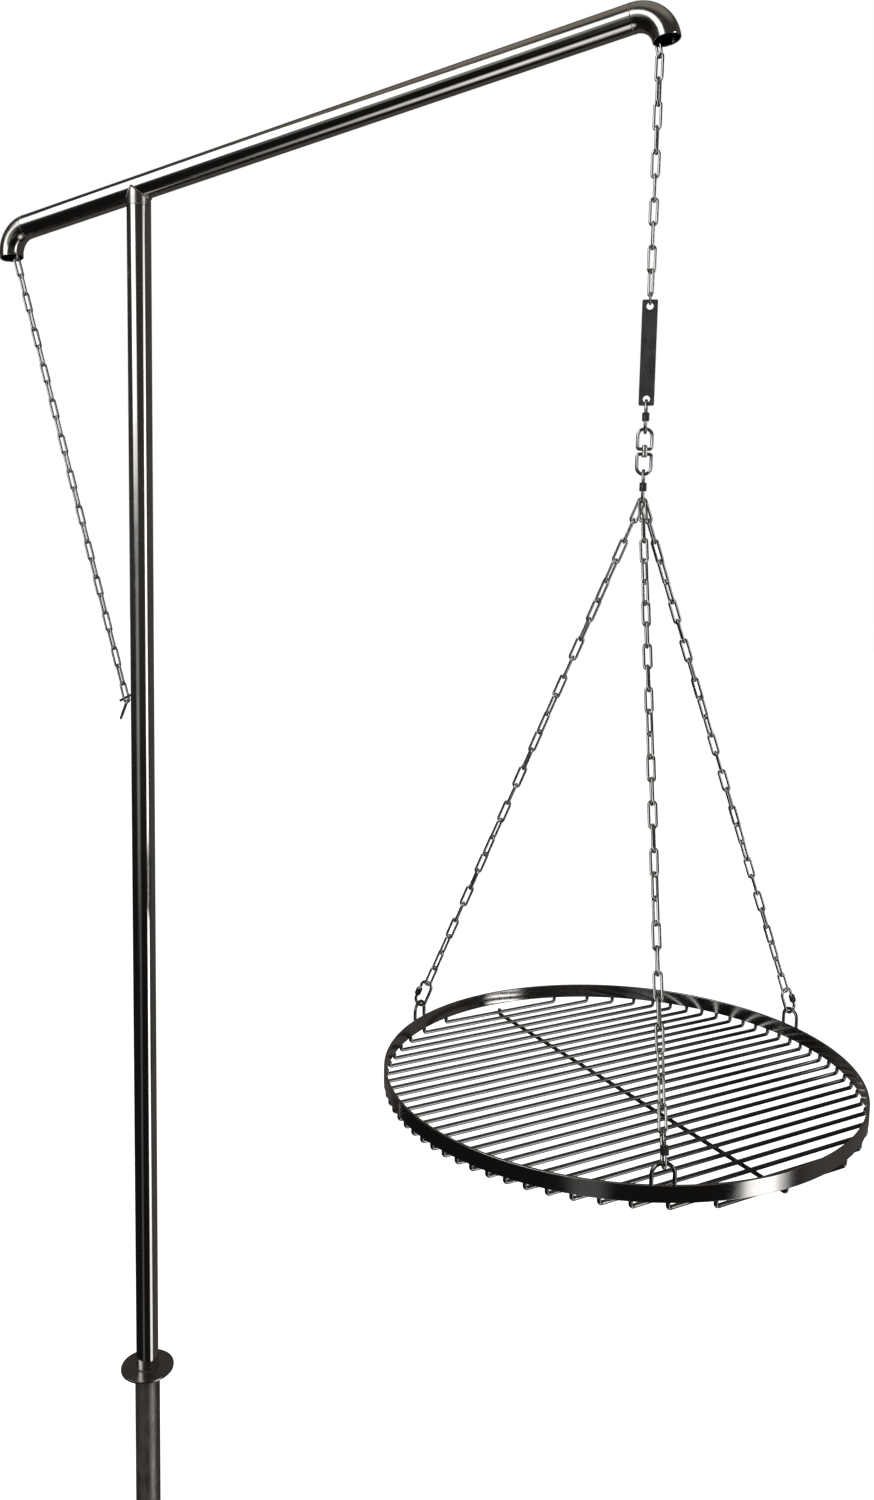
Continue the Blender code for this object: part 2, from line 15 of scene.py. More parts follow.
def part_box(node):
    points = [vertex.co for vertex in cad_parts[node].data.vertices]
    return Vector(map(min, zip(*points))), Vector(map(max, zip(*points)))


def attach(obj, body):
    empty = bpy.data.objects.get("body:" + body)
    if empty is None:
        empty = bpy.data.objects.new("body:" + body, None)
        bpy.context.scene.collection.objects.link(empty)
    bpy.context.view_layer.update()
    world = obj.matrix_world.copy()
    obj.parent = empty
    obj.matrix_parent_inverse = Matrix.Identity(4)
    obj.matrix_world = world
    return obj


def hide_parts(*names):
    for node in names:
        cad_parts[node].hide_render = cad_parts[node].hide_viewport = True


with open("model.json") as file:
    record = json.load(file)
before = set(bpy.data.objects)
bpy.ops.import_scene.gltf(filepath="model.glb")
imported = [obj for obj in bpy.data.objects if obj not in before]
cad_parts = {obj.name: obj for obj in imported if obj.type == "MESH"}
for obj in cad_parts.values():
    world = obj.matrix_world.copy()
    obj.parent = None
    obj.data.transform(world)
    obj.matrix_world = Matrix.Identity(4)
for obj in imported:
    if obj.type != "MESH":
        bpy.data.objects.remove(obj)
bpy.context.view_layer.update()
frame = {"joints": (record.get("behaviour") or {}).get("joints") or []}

AXIS_X = Vector((1, 0, 0))
AXIS_Y = Vector((0, 1, 0))
AXIS_Z = Vector((0, 0, 1))

# ---- places, from the frame ----

JOINTS = {joint["name"]: joint for joint in frame["joints"]}


def pivot(name):
    """The point that a joint turns about."""
    return Vector(JOINTS[name]["pos_m"])


HANG_X = pivot("main_chain_swing").x
CHAIN_START = pivot("main_chain_swing")
RING_TOP = pivot("plate_swing")
SWIVEL_TOP = pivot("swivel_tilt")
SWIVEL_LOW = pivot("lower_link_swing")
APEX = pivot("grate_tilt")
FACE = Vector(JOINTS["upper_link_swing"]["axis"]).normalized()  # out of the plate's face
WIDE = Vector(JOINTS["swivel_tilt"]["axis"]).normalized()  # along the plate's width

POLE_LOW, POLE_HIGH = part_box("pole")
SLEEVE_LOW, SLEEVE_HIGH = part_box("ground_sleeve")
FLANGE_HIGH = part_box("ground_flange")[1]
ARM_LOW, ARM_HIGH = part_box("arm_tube")
STUB_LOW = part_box("arm_stub")[0]
SPIGOT_LOW, SPIGOT_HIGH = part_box("stub_spigot")
PLATE_BOX_LOW, PLATE_BOX_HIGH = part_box("spacer_plate")
RIM_LOW, RIM_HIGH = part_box("grate_rim")
BOW_HIGH_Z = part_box("rim_bow_front")[1].z
ROD_LOW_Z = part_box("grate_rod_15")[0].z
BAR_LOW_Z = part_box("cross_bar")[0].z

TUBE_R = POLE_HIGH.x
SLEEVE_R = SLEEVE_HIGH.x
FLANGE_R = FLANGE_HIGH.x
RIM_R = (RIM_HIGH.x - RIM_LOW.x) / 2
RIM_CENTRE = Vector((HANG_X, 0, 0))

# ---- the arm's slope and seams ----

ARM_RISE = math.radians(9.8)
ARM_DIR = Vector((math.cos(ARM_RISE), 0, math.sin(ARM_RISE)))
ARM_UP = Vector((-math.sin(ARM_RISE), 0, math.cos(ARM_RISE)))
ARM_MIDDLE = Vector(((ARM_LOW.x + ARM_HIGH.x) / 2, 0, (ARM_LOW.z + ARM_HIGH.z) / 2))
ARM_HALF = ((ARM_HIGH.x - ARM_LOW.x) / 2 - TUBE_R * math.sin(ARM_RISE)) / math.cos(ARM_RISE)
FRONT_SEAM = ARM_MIDDLE + ARM_HALF * ARM_DIR
REAR_SEAM = ARM_MIDDLE - ARM_HALF * ARM_DIR
ELBOW_R = 0.043

# ---- sizes of the small parts ----

HAIR = 0.0002  # gap left between two pieces that meet
SUPPORT = 1.5  # how far out the rings that keep a flat face's shading flat stand, in corner radii
TUBE_WALL = 0.002
TUBE_EDGE = 0.0005
BEAD_SIDES = 8
WIRE_SIDES = 16
SLEEVE_FLOOR = 0.004
DRAIN_R = 0.005

LINK_PITCH = 0.032
LINK_WIDTH = 0.0136
CHAIN_WIRE_R = 0.002
TAIL_LINKS = 25
MAIN_TWIST = (28, 25, 20, 13, 8, 3, 0, -5, -18, -35)  # degrees that each link is turned, top to bottom
LEG_LINKS = 27
CHAIN_OFFSET = 0.0096  # from a bend's centre line inwards to the chain that rounds it

HOOK_R = 0.0023
HOOK_SLOPE = math.radians(27)
HOOK_LINK_X = -0.033  # where the loaded link hangs on the pin
HOOK_LINK_DROP = 0.0075  # from the pin's centre line down to the loaded link's pull
FREE_LINK_LEAN = math.radians(24)
FREE_LINK_TURN = math.radians(132)
HOOK_LINK_TURN = math.radians(68)

RING_INNER = 0.011
RING_WIRE_R = 0.00175
PLATE_THICK = 0.003
PLATE_WIDTH = 0.022
PLATE_CORNER = 0.002
PLATE_HOLE_R = 0.005
PLATE_HOLE_MARGIN = 0.0041  # from an end of the plate to the hole's edge
QUICK_INNER = 0.039
QUICK_INNER_WIDTH = 0.014
QUICK_WIRE_R = 0.0025
QUICK_MOUTH_DROP = 0.005
QUICK_MOUTH = 0.003
THREAD_PITCH = 0.0008
NUT_LENGTH = 0.012
NUT_DROP = 0.0015
NUT_FLATS_R = 0.0045
EYE_WIDTH = 0.025
EYE_WIRE_R = 0.0024
EYE_CORNER = 0.0035
BOSS_R = 0.0048
BOSS_THICK = 0.0055
BOSS_EDGE = 0.0006
BOSS_GAP = 0.0016
PIN_HEAD_R = 0.0038
PIN_HEAD = 0.0032
PIN_R = 0.002
PIN_CLEARANCE = 0.0003

LEG_NAMES = ("front", "right", "left")
LEG_TURN = math.radians(-67)  # the front leg's direction
LEG_SEATS = (0.0046, -0.0046, 0.0)  # how far each leg's top link sits from the quick link's middle
LEG_FIRST = (98, 42, 152)  # degrees that each leg's top link is turned
LEG_TWIST = 13  # degrees beyond a quarter turn from link to link
BOW_WIDTH = 0.034
BOW_WIRE_R = 0.00275
RIM_THICK = 0.004
ROD_TURN = math.radians(52.4)
ROD_COUNT = 29
ROD_PITCH = 0.0241
ROD_R = 0.003
BAND_R = RIM_R - RIM_THICK / 2


def level(turn):
    """The level direction that is turned from the X axis by an angle."""
    return Vector((math.cos(turn), math.sin(turn), 0))


# ---- meshes ----


class Shape:
    """Vertices and faces of one piece, collected from rings."""

    def __init__(self):
        self.verts = []
        self.faces = []

    def ring(self, points):
        """Adds the points and says which vertices they became."""
        start = len(self.verts)
        self.verts.extend(tuple(p) for p in points)
        return list(range(start, len(self.verts)))

    def bridge(self, low, high):
        """Adds the faces between two rings of the same length."""
        count = len(low)
        for j in range(count):
            k = (j + 1) % count
            self.faces.append((low[j], low[k], high[k], high[j]))

    def cap(self, ring):
        self.faces.append(tuple(ring))

    def skin(self, rings, closed=False, caps=False):
        """Adds rings with faces between them: joined end to end when closed, or else open or with caps."""
        rows = [self.ring(points) for points in rings]
        for low, high in zip(rows, rows[1:]):
            self.bridge(low, high)
        if closed:
            self.bridge(rows[-1], rows[0])
        elif caps:
            self.cap(rows[0])
            self.cap(rows[-1])


def make(name, shape, material, body, slot, *nodes, sharp=40):
    """The object of a shape: it rides on a body and stands for CAD nodes."""
    data = bpy.data.meshes.new(name)
    data.from_pydata(shape.verts, [], shape.faces)
    data.validate()
    same_point = 2e-6
    tidy = bmesh.new()
    tidy.from_mesh(data)
    bmesh.ops.remove_doubles(tidy, verts=tidy.verts, dist=same_point)
    bmesh.ops.recalc_face_normals(tidy, faces=tidy.faces)
    tidy.to_mesh(data)
    tidy.free()
    data.shade_smooth()
    data.set_sharp_from_angle(angle=math.radians(sharp))
    data.materials.append(material)
    piece = bpy.data.objects.new(name, data)
    bpy.context.collection.objects.link(piece)
    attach(piece, body)
    if nodes:
        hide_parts(*nodes)


def circle(centre, side, normal, radius, sides, stretch=1.0):
    """Points of a circle, stretched along side where a mitre asks for it."""
    points = []
    for i in range(sides):
        a = 2 * math.pi * i / sides
        points.append(centre + radius * (math.cos(a) * stretch * side + math.sin(a) * normal))
    return points


def sweep_rings(path, normal, radii, sides, closed=False):
    """Rings along a path that lies in the plane across normal, mitred at its corners."""
    rings = []
    last = len(path) - 1
    for i, point in enumerate(path):
        back = path[i - 1] if i or closed else None
        ahead = path[(i + 1) % len(path)] if i < last or closed else None
        into = (point - back).normalized() if back is not None else (ahead - point).normalized()
        out = (ahead - point).normalized() if ahead is not None else into
        along = (into + out).normalized()
        radius = radii[i] if isinstance(radii, (list, tuple)) else radii
        rings.append(circle(point, normal.cross(along), normal, radius, sides, 1 / along.dot(into)))
    return rings


def lathe(profile, centre=Vector(), sides=96, axis=AXIS_Z, side=AXIS_X):
    """Rings of (radius, height) points turned about an axis."""
    across = axis.cross(side)
    return [circle(centre + axis * height, side, across, radius, sides) for radius, height in profile]


def rounded(corners, radius, steps=3):
    """A closed outline of (r, z) corners with each corner rounded and held by a ring on either side."""
    points = []
    count = len(corners)
    for i, corner in enumerate(corners):
        here = Vector(corner)
        before = (Vector(corners[i - 1]) - here).normalized() * radius
        after = (Vector(corners[(i + 1) % count]) - here).normalized() * radius
        points.append(here + before * SUPPORT)
        for s in range(steps + 1):
            t = s / steps
            points.append(here + before * (1 - t) ** 2 + after * t**2)
        points.append(here + after * SUPPORT)
    return [(p.x, p.y) for p in points]


def stadium(centre, along, across, length, width, steps):
    """Points round a long link's centre line: two half rounds and two straight legs, each in steps."""
    radius = width / 2
    points = []
    for end in (1, -1):
        middle = centre + along * (end * (length / 2 - radius))
        for i in range(steps + 1):
            a = math.pi * i / steps
            points.append(middle + radius * end * (math.cos(a) * across + math.sin(a) * along))
        opposite = centre - along * (end * (length / 2 - radius)) - across * (end * radius)
        here = points[-1]
        for i in range(1, steps):
            points.append(here.lerp(opposite, i / steps))
    return points


# ---- materials ----


class Nodes:
    """Short calls for a material's or the world's node tree."""

    def __init__(self, tree):
        self.tree = tree

    def new(self, kind, **values):
        node = self.tree.nodes.new(kind)
        for key, value in values.items():
            setattr(node, key, value)
        return node

    def link(self, source, target):
        self.tree.links.new(source, target)

    def math(self, operation, a, b=None):
        node = self.new("ShaderNodeMath", operation=operation)
        for socket, value in ((node.inputs[0], a), (node.inputs[1], b)):
            if value is None:
                continue
            if isinstance(value, (int, float)):
                socket.default_value = value
            else:
                self.link(value, socket)
        return node.outputs[0]

    def remap(self, value, low, high, to_low=0.0, to_high=1.0):
        """A value softly taken from the range low to high into another range."""
        node = self.new("ShaderNodeMapRange", interpolation_type="SMOOTHSTEP")
        self.link(value, node.inputs["Value"])
        for key, number in (("From Min", low), ("From Max", high), ("To Min", to_low), ("To Max", to_high)):
            node.inputs[key].default_value = number
        return node.outputs["Result"]

    def noise(self, vector, scale, detail, roughness, stretch=(1, 1, 1)):
        mapping = self.new("ShaderNodeMapping")
        mapping.inputs["Scale"].default_value = stretch
        self.link(vector, mapping.inputs["Vector"])
        node = self.new("ShaderNodeTexNoise")
        self.link(mapping.outputs["Vector"], node.inputs["Vector"])
        node.inputs["Scale"].default_value = scale
        node.inputs["Detail"].default_value = detail
        node.inputs["Roughness"].default_value = roughness
        return node.outputs["Fac"]

    def blend_colour(self, factor, a, b):
        """A mix of two colours, where a may also be the output of another node."""
        node = self.new("ShaderNodeMix", data_type="RGBA")
        self.link(factor, node.inputs["Factor"])
        if isinstance(a, tuple):
            node.inputs["A"].default_value = (*a, 1)
        else:
            self.link(a, node.inputs["A"])
        node.inputs["B"].default_value = (*b, 1)
        return node.outputs["Result"]

    def lighten(self, a, b):
        """The brighter of two colours."""
        node = self.new("ShaderNodeMix", data_type="RGBA", blend_type="LIGHTEN")
        node.inputs["Factor"].default_value = 1.0
        self.link(a, node.inputs["A"])
        self.link(b, node.inputs["B"])
        return node.outputs["Result"]


def metal(name, light, dark, smooth, rough, grain, grain_scale, bump, stain=None):
    """Polished or ground steel: clouded colour, roughness in soft blotches, and fine grinding lines.

    light and dark are the two colours of the clouds, smooth and rough the two ends of the roughness.
    grain is the stretch of the grinding lines: small numbers run along that axis.
    """
    material = bpy.data.materials.new(name)
    material.use_nodes = True
    nodes = Nodes(material.node_tree)
    shader = material.node_tree.nodes["Principled BSDF"]
    shader.inputs["Metallic"].default_value = 1.0
    place = nodes.new("ShaderNodeTexCoord").outputs["Object"]
    cloud = nodes.noise(place, scale=14.0, detail=5.0, roughness=0.6)
    colour = nodes.blend_colour(nodes.remap(cloud, low=0.35, high=0.68), light, dark)
    lines = nodes.noise(place, scale=grain_scale, detail=2.0, roughness=0.7, stretch=grain)
    smudge = nodes.noise(place, scale=45.0, detail=3.0, roughness=0.65)
    if stain:
        spots = nodes.noise(place, scale=90.0, detail=6.0, roughness=0.7)
        colour = nodes.blend_colour(nodes.remap(spots, low=0.56, high=0.72), colour, stain)
    nodes.link(colour, shader.inputs["Base Color"])
    smudge_share = 0.6
    line_share = 0.4
    smudge = nodes.math("MULTIPLY", smudge, smudge_share)
    mixed = nodes.math("ADD", smudge, nodes.math("MULTIPLY", lines, line_share))
    blotches = nodes.remap(mixed, low=0.35, high=0.65, to_low=smooth, to_high=rough)
    nodes.link(blotches, shader.inputs["Roughness"])
    relief_depth = 0.0002
    relief = nodes.new("ShaderNodeBump")
    relief.inputs["Strength"].default_value = bump
    relief.inputs["Distance"].default_value = relief_depth
    nodes.link(lines, relief.inputs["Height"])
    nodes.link(relief.outputs["Normal"], shader.inputs["Normal"])
    return material


# Polished tube, its grinding lines along the pole or along the arm.
TUBE_STEEL = metal(
    "tube_steel",
    light=(0.66, 0.645, 0.625),
    dark=(0.58, 0.565, 0.545),
    smooth=0.07,
    rough=0.14,
    grain=(1, 1, 0.05),
    grain_scale=400.0,
    bump=0.004,
)
ARM_STEEL = metal(
    "arm_steel",
    light=(0.66, 0.645, 0.62),
    dark=(0.57, 0.555, 0.53),
    smooth=0.07,
    rough=0.14,
    grain=(0.05, 1, 1),
    grain_scale=400.0,
    bump=0.004,
)

# Pressed bends, a little duller than the tube.
ELBOW_STEEL = metal(
    "elbow_steel",
    light=(0.62, 0.60, 0.575),
    dark=(0.52, 0.50, 0.475),
    smooth=0.11,
    rough=0.22,
    grain=(1, 1, 1),
    grain_scale=500.0,
    bump=0.04,
)

# Steel ground by hand, for the stub and the welds.
GROUND_STEEL = metal(
    "ground_steel",
    light=(0.60, 0.585, 0.565),
    dark=(0.50, 0.485, 0.465),
    smooth=0.20,
    rough=0.34,
    grain=(1, 1, 12),
    grain_scale=350.0,
    bump=0.15,
)

# The disc, darker than the tubes and with a softer shine.
DISC_STEEL = metal(
    "disc_steel",
    light=(0.42, 0.40, 0.385),
    dark=(0.35, 0.335, 0.32),
    smooth=0.21,
    rough=0.29,
    grain=(1, 1, 6),
    grain_scale=300.0,
    bump=0.02,
)

# Drawn tube as it comes from the mill, with handling marks and a brown cast.
SLEEVE_STEEL = metal(
    "sleeve_steel",
    light=(0.38, 0.345, 0.33),
    dark=(0.26, 0.232, 0.222),
    smooth=0.42,
    rough=0.60,
    grain=(1, 1, 0.06),
    grain_scale=500.0,
    bump=0.06,
    stain=(0.19, 0.16, 0.145),
)

# Bright wire of the chains and of the quick links, the ring, the swivel and the hook pin.
CHAIN_STEEL = metal(
    "chain_steel",
    light=(0.66, 0.66, 0.65),
    dark=(0.56, 0.56, 0.55),
    smooth=0.04,
    rough=0.12,
    grain=(1, 1, 1),
    grain_scale=700.0,
    bump=0.03,
)
LINK_STEEL = metal(
    "link_steel",
    light=(0.60, 0.595, 0.585),
    dark=(0.50, 0.495, 0.485),
    smooth=0.05,
    rough=0.12,
    grain=(1, 1, 1),
    grain_scale=700.0,
    bump=0.03,
)

# Dark brushed sheet.
PLATE_STEEL = metal(
    "plate_steel",
    light=(0.27, 0.265, 0.26),
    dark=(0.20, 0.195, 0.19),
    smooth=0.24,
    rough=0.38,
    grain=(1, 1, 0.03),
    grain_scale=1500.0,
    bump=0.15,
)

# The grate's polished band, and the darker wire of its rods and bows.
RIM_STEEL = metal(
    "rim_steel",
    light=(0.56, 0.55, 0.54),
    dark=(0.50, 0.49, 0.48),
    smooth=0.10,
    rough=0.16,
    grain=(1, 1, 4),
    grain_scale=250.0,
    bump=0.01,
)
ROD_STEEL = metal(
    "rod_steel",
    light=(0.28, 0.275, 0.27),
    dark=(0.22, 0.216, 0.21),
    smooth=0.05,
    rough=0.11,
    grain=(1, 1, 1),
    grain_scale=500.0,
    bump=0.03,
)


# ---- ground sleeve ----


def sleeve():
    """The tube in the ground, closed below by a floor with a drain hole."""
    inner = SLEEVE_R - TUBE_WALL
    top = SLEEVE_HIGH.z
    foot = SLEEVE_LOW.z
    inside = foot + SLEEVE_FLOOR
    edge = 0.0004
    corners = [(SLEEVE_R, top), (inner, top), (inner, inside), (DRAIN_R, inside)]
    corners += [(DRAIN_R, foot), (SLEEVE_R, foot)]
    shape = Shape()
    shape.skin(lathe(rounded(corners, edge)), closed=True)
    make("sleeve_tube", shape, SLEEVE_STEEL, "ground", "sleeve_steel", "ground_sleeve")


def flange():
    """The disc round the sleeve's top, with its underside on the ground."""
    top = FLANGE_HIGH.z
    bore = SLEEVE_R + HAIR
    edge = 0.0004
    corners = [(bore, top), (bore, 0), (FLANGE_R, 0), (FLANGE_R, top)]
    shape = Shape()
    shape.skin(lathe(rounded(corners, edge, steps=4), sides=144), closed=True)
    make("flange_disc", shape, DISC_STEEL, "ground", "tube_steel", "ground_flange")


def flange_weld():
    """The bead below the disc, as (distance from the sleeve's wall, height) corners."""
    edge = 0.0004
    bead = ((HAIR, -0.0004), (0.0026, -0.0004), (0.0018, -0.0016), (HAIR, -0.0028))
    corners = [(SLEEVE_R + out, height) for out, height in bead]
    shape = Shape()
    shape.skin(lathe(rounded(corners, edge)), closed=True)
    make("flange_weld", shape, GROUND_STEEL, "ground", "tube_steel")


# ---- mast ----


def tube_between(start, end, outer):
    """A tube with rounded ends."""
    sides = 96
    along = (end - start).normalized()
    length = (end - start).length
    inner = outer - TUBE_WALL
    corners = [(outer, 0), (outer, length), (inner, length), (inner, 0)]
    shape = Shape()
    shape.skin(lathe(rounded(corners, TUBE_EDGE), start, sides, along, AXIS_Y), closed=True)
    return shape


def upright_tube(name, low, high, outer, node):
    """A tube on the pole's axis."""
    shape = tube_between(AXIS_Z * low, AXIS_Z * high, outer)
    make(name, shape, TUBE_STEEL, "mast", "tube_steel", node)


def saddle_height(x, y):
    """Height of the arm's underside above a point of the stub's plan."""
    clearance = 0.0003
    axis_z = ARM_MIDDLE.z + math.tan(ARM_RISE) * (x - ARM_MIDDLE.x)
    reach = TUBE_R + clearance
    return axis_z - math.sqrt(max(reach**2 - y**2, 0)) / math.cos(ARM_RISE)


def saddle_point(angle, radius, drop=0.0):
    """A point of the saddle's cut, at an angle and a distance from the pole's axis."""
    x = radius * math.cos(angle)
    y = radius * math.sin(angle)
    return Vector((x, y, saddle_height(x, y) - drop))


def arm_stub():
    """The short tube under the arm, its top cut to the arm's round."""
    sides = 96
    edge = 0.0004
    low = STUB_LOW.z
    inner = TUBE_R - TUBE_WALL
    foot = [(inner, low), (TUBE_R - edge, low), (TUBE_R, low + edge), (TUBE_R, low + SUPPORT * edge)]
    rings = lathe(foot, sides=sides)
    for radius in (TUBE_R, inner):
        rings.append([saddle_point(2 * math.pi * i / sides, radius) for i in range(sides)])
    shape = Shape()
    shape.skin(rings, closed=True)
    make("saddle_stub", shape, GROUND_STEEL, "mast", "tube_steel", "arm_stub")


def rippled(step, radius, ripple):
    """A weld bead's radius at a step along it: one ripple in six steps."""
    return radius + ripple * math.cos(step * math.pi / 3)


def saddle_weld():
    """The bead between the stub and the arm."""
    steps = 288
    proud = 0.0004
    reach = TUBE_R + proud
    drop = 0.0006
    next_angle = 0.01
    rings = []
    for i in range(steps):
        a = 2 * math.pi * i / steps
        centre = saddle_point(a, reach, drop)
        outward = level(a)
        ahead = saddle_point(a + next_angle, reach, drop) - centre
        across = ahead.normalized().cross(outward).normalized()
        rings.append(circle(centre, outward, across, rippled(i, radius=0.0013, ripple=0.00022), BEAD_SIDES))
    shape = Shape()
    shape.skin(rings, closed=True)
    make("saddle_weld", shape, GROUND_STEEL, "mast", "tube_steel")


def arm():
    shape = tube_between(REAR_SEAM, FRONT_SEAM, TUBE_R)
    make("arm_tube_fine", shape, ARM_STEEL, "mast", "tube_steel", "arm_tube")


def elbow(name, seam, side, node):
    """A quarter bend with a rounded mouth, each ring on a plane through the bend's centre."""
    centre = seam - ELBOW_R * ARM_UP
    sides = 72
    steps = 48
    edge = TUBE_EDGE
    inner = TUBE_R - TUBE_WALL
    lead = edge / ELBOW_R
    turns = [lead + (math.pi / 2 - 2 * lead) * i / steps for i in range(steps + 1)]
    rows = [(TUBE_R - edge, 0.0)] + [(TUBE_R, t) for t in turns] + [(TUBE_R - edge, math.pi / 2)]
    rows += [(inner + edge, math.pi / 2)] + [(inner, t) for t in reversed(turns)] + [(inner + edge, 0.0)]
    rings = []
    for radius, turn in rows:
        spoke = math.cos(turn) * ARM_UP + math.sin(turn) * side * ARM_DIR
        rings.append(circle(centre + ELBOW_R * spoke, spoke, AXIS_Y, radius, sides))
    shape = Shape()
    shape.skin(rings, closed=True)
    make(name, shape, ELBOW_STEEL, "mast", "tube_steel", node)


def seam_bead(name, seam):
    """A flush weld, ground down until only a low ripple is left."""
    steps = 180
    sunk = 0.00055
    rings = []
    for i in range(steps):
        a = 2 * math.pi * i / steps
        outward = math.cos(a) * ARM_UP + math.sin(a) * AXIS_Y
        centre = seam + outward * (TUBE_R - sunk)
        rings.append(circle(centre, outward, ARM_DIR, rippled(i, radius=0.0009, ripple=0.00012), BEAD_SIDES))
    shape = Shape()
    shape.skin(rings, closed=True)
    make(name, shape, GROUND_STEEL, "mast", "tube_steel")


def hook_pin():
    """The square-cut pin on the pole's back. Returns its root and the direction it slopes in."""
    bevel = 0.0004
    fillet = 0.0011
    fillet_length = 0.0016
    root_depth = 0.001  # how far the root reaches into the pole's wall
    box_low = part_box("chain_hook")[0]
    slope = Vector((-math.cos(HOOK_SLOPE), 0, -math.sin(HOOK_SLOPE)))
    tip = Vector((box_low.x + HOOK_R * math.sin(HOOK_SLOPE), 0, box_low.z + HOOK_R * math.cos(HOOK_SLOPE)))
    root = tip + slope * ((tip.x + TUBE_R - root_depth) / math.cos(HOOK_SLOPE))
    path = [root, root + slope * fillet_length, tip - slope * bevel, tip]
    radii = [HOOK_R + fillet, HOOK_R, HOOK_R, HOOK_R - bevel]
    shape = Shape()
    shape.skin(sweep_rings(path, AXIS_Y, radii, sides=24), caps=True)
    make("hook_pin", shape, LINK_STEEL, "mast", "tube_steel", "chain_hook")
    return root, slope


# ---- chains ----


def weld_profile(height):
    """The wire's thickness along a link's welded leg, as a factor: a nick between two swellings."""
    spread = 0.0022
    amount = 0.10
    near = abs(height) / spread
    swell = amount * math.exp(-((near - 0.7) ** 2) * 6)
    nick = amount * math.exp(-(near**2) * 8)
    return 1 + swell - nick


def link_template():
    """One long link about the origin, long along Z and wide along X, with the nick of its butt weld."""
    wire = CHAIN_WIRE_R
    centre_line = stadium(Vector(), AXIS_Z, AXIS_X, LINK_PITCH + 2 * wire, LINK_WIDTH - 2 * wire, 10)
    radii = [wire * (weld_profile(p.z) if p.x > 0 else 1) for p in centre_line]
    return sweep_rings(centre_line, AXIS_Y, radii, sides=10, closed=True)


LINK_RINGS = link_template()


def add_link(shape, top, bottom, wide):
    """Adds a link that is pulled from top to bottom, its width nearest to the direction wide."""
    along = top - bottom
    middle = (top + bottom) / 2
    length = along.length
    along.normalize()
    across = (wide - along * wide.dot(along)).normalized()
    turn = Matrix((across, along.cross(across), along)).transposed()
    spare = (length - LINK_PITCH) / 2
    rings = []
    for ring in LINK_RINGS:
        moved = []
        for p in ring:
            q = Vector((p.x, p.y, p.z + math.copysign(spare, p.z)))
            moved.append(middle + turn @ q)
        rings.append(moved)
    shape.skin(rings, closed=True)


def turned_side(along, side, degrees):
    """The direction side, made square to along and turned about it."""
    flat = (side - along * side.dot(along)).normalized()
    return Matrix.Rotation(math.radians(degrees), 3, along) @ flat


def chain_run(shape, start, end, count, side, first=0.0, twist=0.0):
    """Links from start to end, each a quarter turn and a little twist on from the one before."""
    along = (end - start).normalized()
    for i in range(count):
        top = start.lerp(end, i / count)
        bottom = start.lerp(end, (i + 1) / count)
        add_link(shape, top, bottom, turned_side(along, side, first + i * (90 + twist)))


def hook_seat(root, slope):
    """Where the loaded link pulls, below the pin."""
    along = (HOOK_LINK_X - root.x) / slope.x
    return root + along * slope - AXIS_Z * HOOK_LINK_DROP


def inner_route(tail_from):
    """The chain's way from the rear mouth through the arm to the front mouth: a bend at either end."""
    steps = 40
    bend = ELBOW_R - CHAIN_OFFSET
    rear = REAR_SEAM - ELBOW_R * ARM_UP
    front = FRONT_SEAM - ELBOW_R * ARM_UP
    down = (tail_from - rear).normalized()
    square = Vector((down.z, 0, -down.x))
    rear_start = -math.acos(max(-1.0, min(1.0, square.dot(ARM_UP))))
    front_end = math.pi / 2 - ARM_RISE
    points = []
    for centre, first, last in ((rear, rear_start, 0.0), (front, 0.0, front_end)):
        for i in range(steps + 1):
            turn = first + (last - first) * i / steps
            points.append(centre + bend * (math.cos(turn) * ARM_UP + math.sin(turn) * ARM_DIR))
    points.append(CHAIN_START)
    return points


def along_route(points, distance):
    """The point at a distance from the route's start."""
    for a, b in zip(points, points[1:]):
        step = (b - a).length
        if distance <= step:
            return a.lerp(b, distance / step)
        distance -= step
    return points[-1]


def tail_chain(seat, top):
    """The chain from the rear mouth to the hook pin, with one link hanging free."""
    shape = Shape()
    chain_run(shape, seat, top, TAIL_LINKS, level(HOOK_LINK_TURN))
    lean = Vector((-math.sin(FREE_LINK_LEAN), 0, -math.cos(FREE_LINK_LEAN)))
    add_link(shape, seat, seat + lean * LINK_PITCH, level(FREE_LINK_TURN))
    make("tail_chain_links", shape, CHAIN_STEEL, "mast", "chain_steel", "tail_chain")


def arm_chain(route):
    """The chain along the route inside the arm, its links turned as they lie in a round tube."""
    slant = 45
    length = sum((b - a).length for a, b in zip(route, route[1:]))
    count = round(length / LINK_PITCH)
    stops = [along_route(route, length * i / count) for i in range(count + 1)]
    shape = Shape()
    for i, (a, b) in enumerate(zip(stops, stops[1:])):
        add_link(shape, a, b, turned_side((b - a).normalized(), AXIS_Y, slant + 90 * (i % 2)))
    make("arm_chain_links", shape, CHAIN_STEEL, "mast", "chain_steel", "arm_chain")


def mast_chains(root, slope):
    seat = hook_seat(root, slope)
    route = inner_route(seat)
    tail_chain(seat, route[0])
    arm_chain(route)


def main_chain():
    shape = Shape()
    count = len(MAIN_TWIST)
    for i, twist in enumerate(MAIN_TWIST):
        top = CHAIN_START.lerp(RING_TOP, i / count)
        bottom = CHAIN_START.lerp(RING_TOP, (i + 1) / count)
        add_link(shape, top, bottom, turned_side(-AXIS_Z, WIDE, 90 * (i % 2) + twist))
    make("main_chain_links", shape, CHAIN_STEEL, "main_chain", "chain_steel", "main_chain")


# ---- hanging hardware ----


